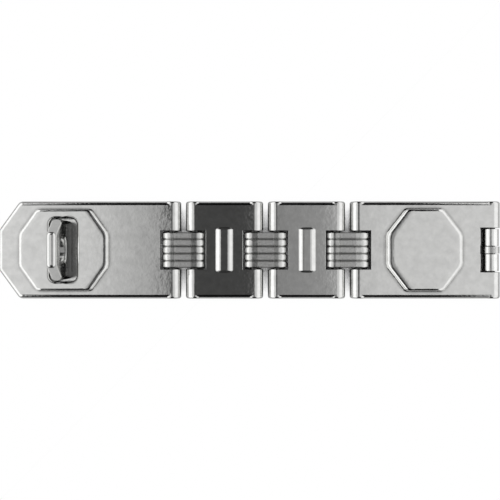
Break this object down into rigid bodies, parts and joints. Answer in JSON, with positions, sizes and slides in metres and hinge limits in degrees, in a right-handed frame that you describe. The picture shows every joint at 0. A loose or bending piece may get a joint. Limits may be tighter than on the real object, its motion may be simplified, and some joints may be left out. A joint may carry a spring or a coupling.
{
  "type": "hinge pin hasp",
  "caption": "Folding hasp of pressed steel plates with concealed hinge pins, laminated links between the plates, a staple eye and a hinged cover over its fixing screws.",
  "frame": {"origin": "on the mounting surface, below the middle of the closed hasp", "axes": "+X along the hasp towards its fixed, hinged end, +Y across it, +Z away from the door"},
  "size_m": [0.23, 0.0446, 0.0335],
  "materials": {
    "plate_steel": "bright zinc plated, faintly mottled",
    "link_steel": "zinc plated, rougher in the middle",
    "pin_steel": "drawn rod, satin",
    "staple_steel": "hardened and plated, polished edges",
    "base_steel": "zinc plated, satin"
  },
  "bodies": {
    "fixed": {"fixing_leaf": "base_steel", "hinge_ring": "link_steel", "end_hinge_pin": "pin_steel"},
    "cover": {"cover_plate": "plate_steel", "joint_pin_3_right": "pin_steel"},
    "link_3": {"link_3_lamination_1": "link_steel", "link_3_lamination_2": "link_steel", "link_3_lamination_3": "link_steel", "link_3_lamination_4": "link_steel", "link_3_lamination_5": "link_steel"},
    "plate_2": {"link_plate_2": "plate_steel", "joint_pin_3_left": "pin_steel", "joint_pin_2_right": "pin_steel"},
    "link_2": {"link_2_lamination_1": "link_steel", "link_2_lamination_2": "link_steel", "link_2_lamination_3": "link_steel", "link_2_lamination_4": "link_steel", "link_2_lamination_5": "link_steel"},
    "plate_1": {"link_plate_1": "plate_steel", "joint_pin_2_left": "pin_steel", "joint_pin_1_right": "pin_steel"},
    "link_1": {"link_1_lamination_1": "link_steel", "link_1_lamination_2": "link_steel", "link_1_lamination_3": "link_steel", "link_1_lamination_4": "link_steel", "link_1_lamination_5": "link_steel"},
    "hasp": {"hasp_plate": "plate_steel", "joint_pin_1_left": "pin_steel", "staple_plate": "base_steel", "staple": "staple_steel"}
  },
  "joints": [
    {"name": "end_hinge", "type": "hinge", "parent": "fixed", "child": "cover", "pos_m": [0.1109, 0, 0.0041], "axis": [0, 1, 0], "range_deg": [0, 165]},
    {"name": "joint_3_right", "type": "hinge", "parent": "cover", "child": "link_3", "pos_m": [0.0501, 0, 0.0041], "axis": [0, 1, 0], "range_deg": [-90, 80]},
    {"name": "joint_3_left", "type": "hinge", "parent": "link_3", "child": "plate_2", "pos_m": [0.0397, 0, 0.0041], "axis": [0, 1, 0], "range_deg": [-90, 80]},
    {"name": "joint_2_right", "type": "hinge", "parent": "plate_2", "child": "link_2", "pos_m": [0.01235, 0, 0.0041], "axis": [0, -1, 0], "range_deg": [-80, 90]},
    {"name": "joint_2_left", "type": "hinge", "parent": "link_2", "child": "plate_1", "pos_m": [0.00195, 0, 0.0041], "axis": [0, -1, 0], "range_deg": [-80, 90]},
    {"name": "joint_1_right", "type": "hinge", "parent": "plate_1", "child": "link_1", "pos_m": [-0.0254, 0, 0.0041], "axis": [0, 1, 0], "range_deg": [-90, 80]},
    {"name": "joint_1_left", "type": "hinge", "parent": "link_1", "child": "hasp", "pos_m": [-0.0358, 0, 0.0041], "axis": [0, 1, 0], "range_deg": [-90, 80]}
  ]
}
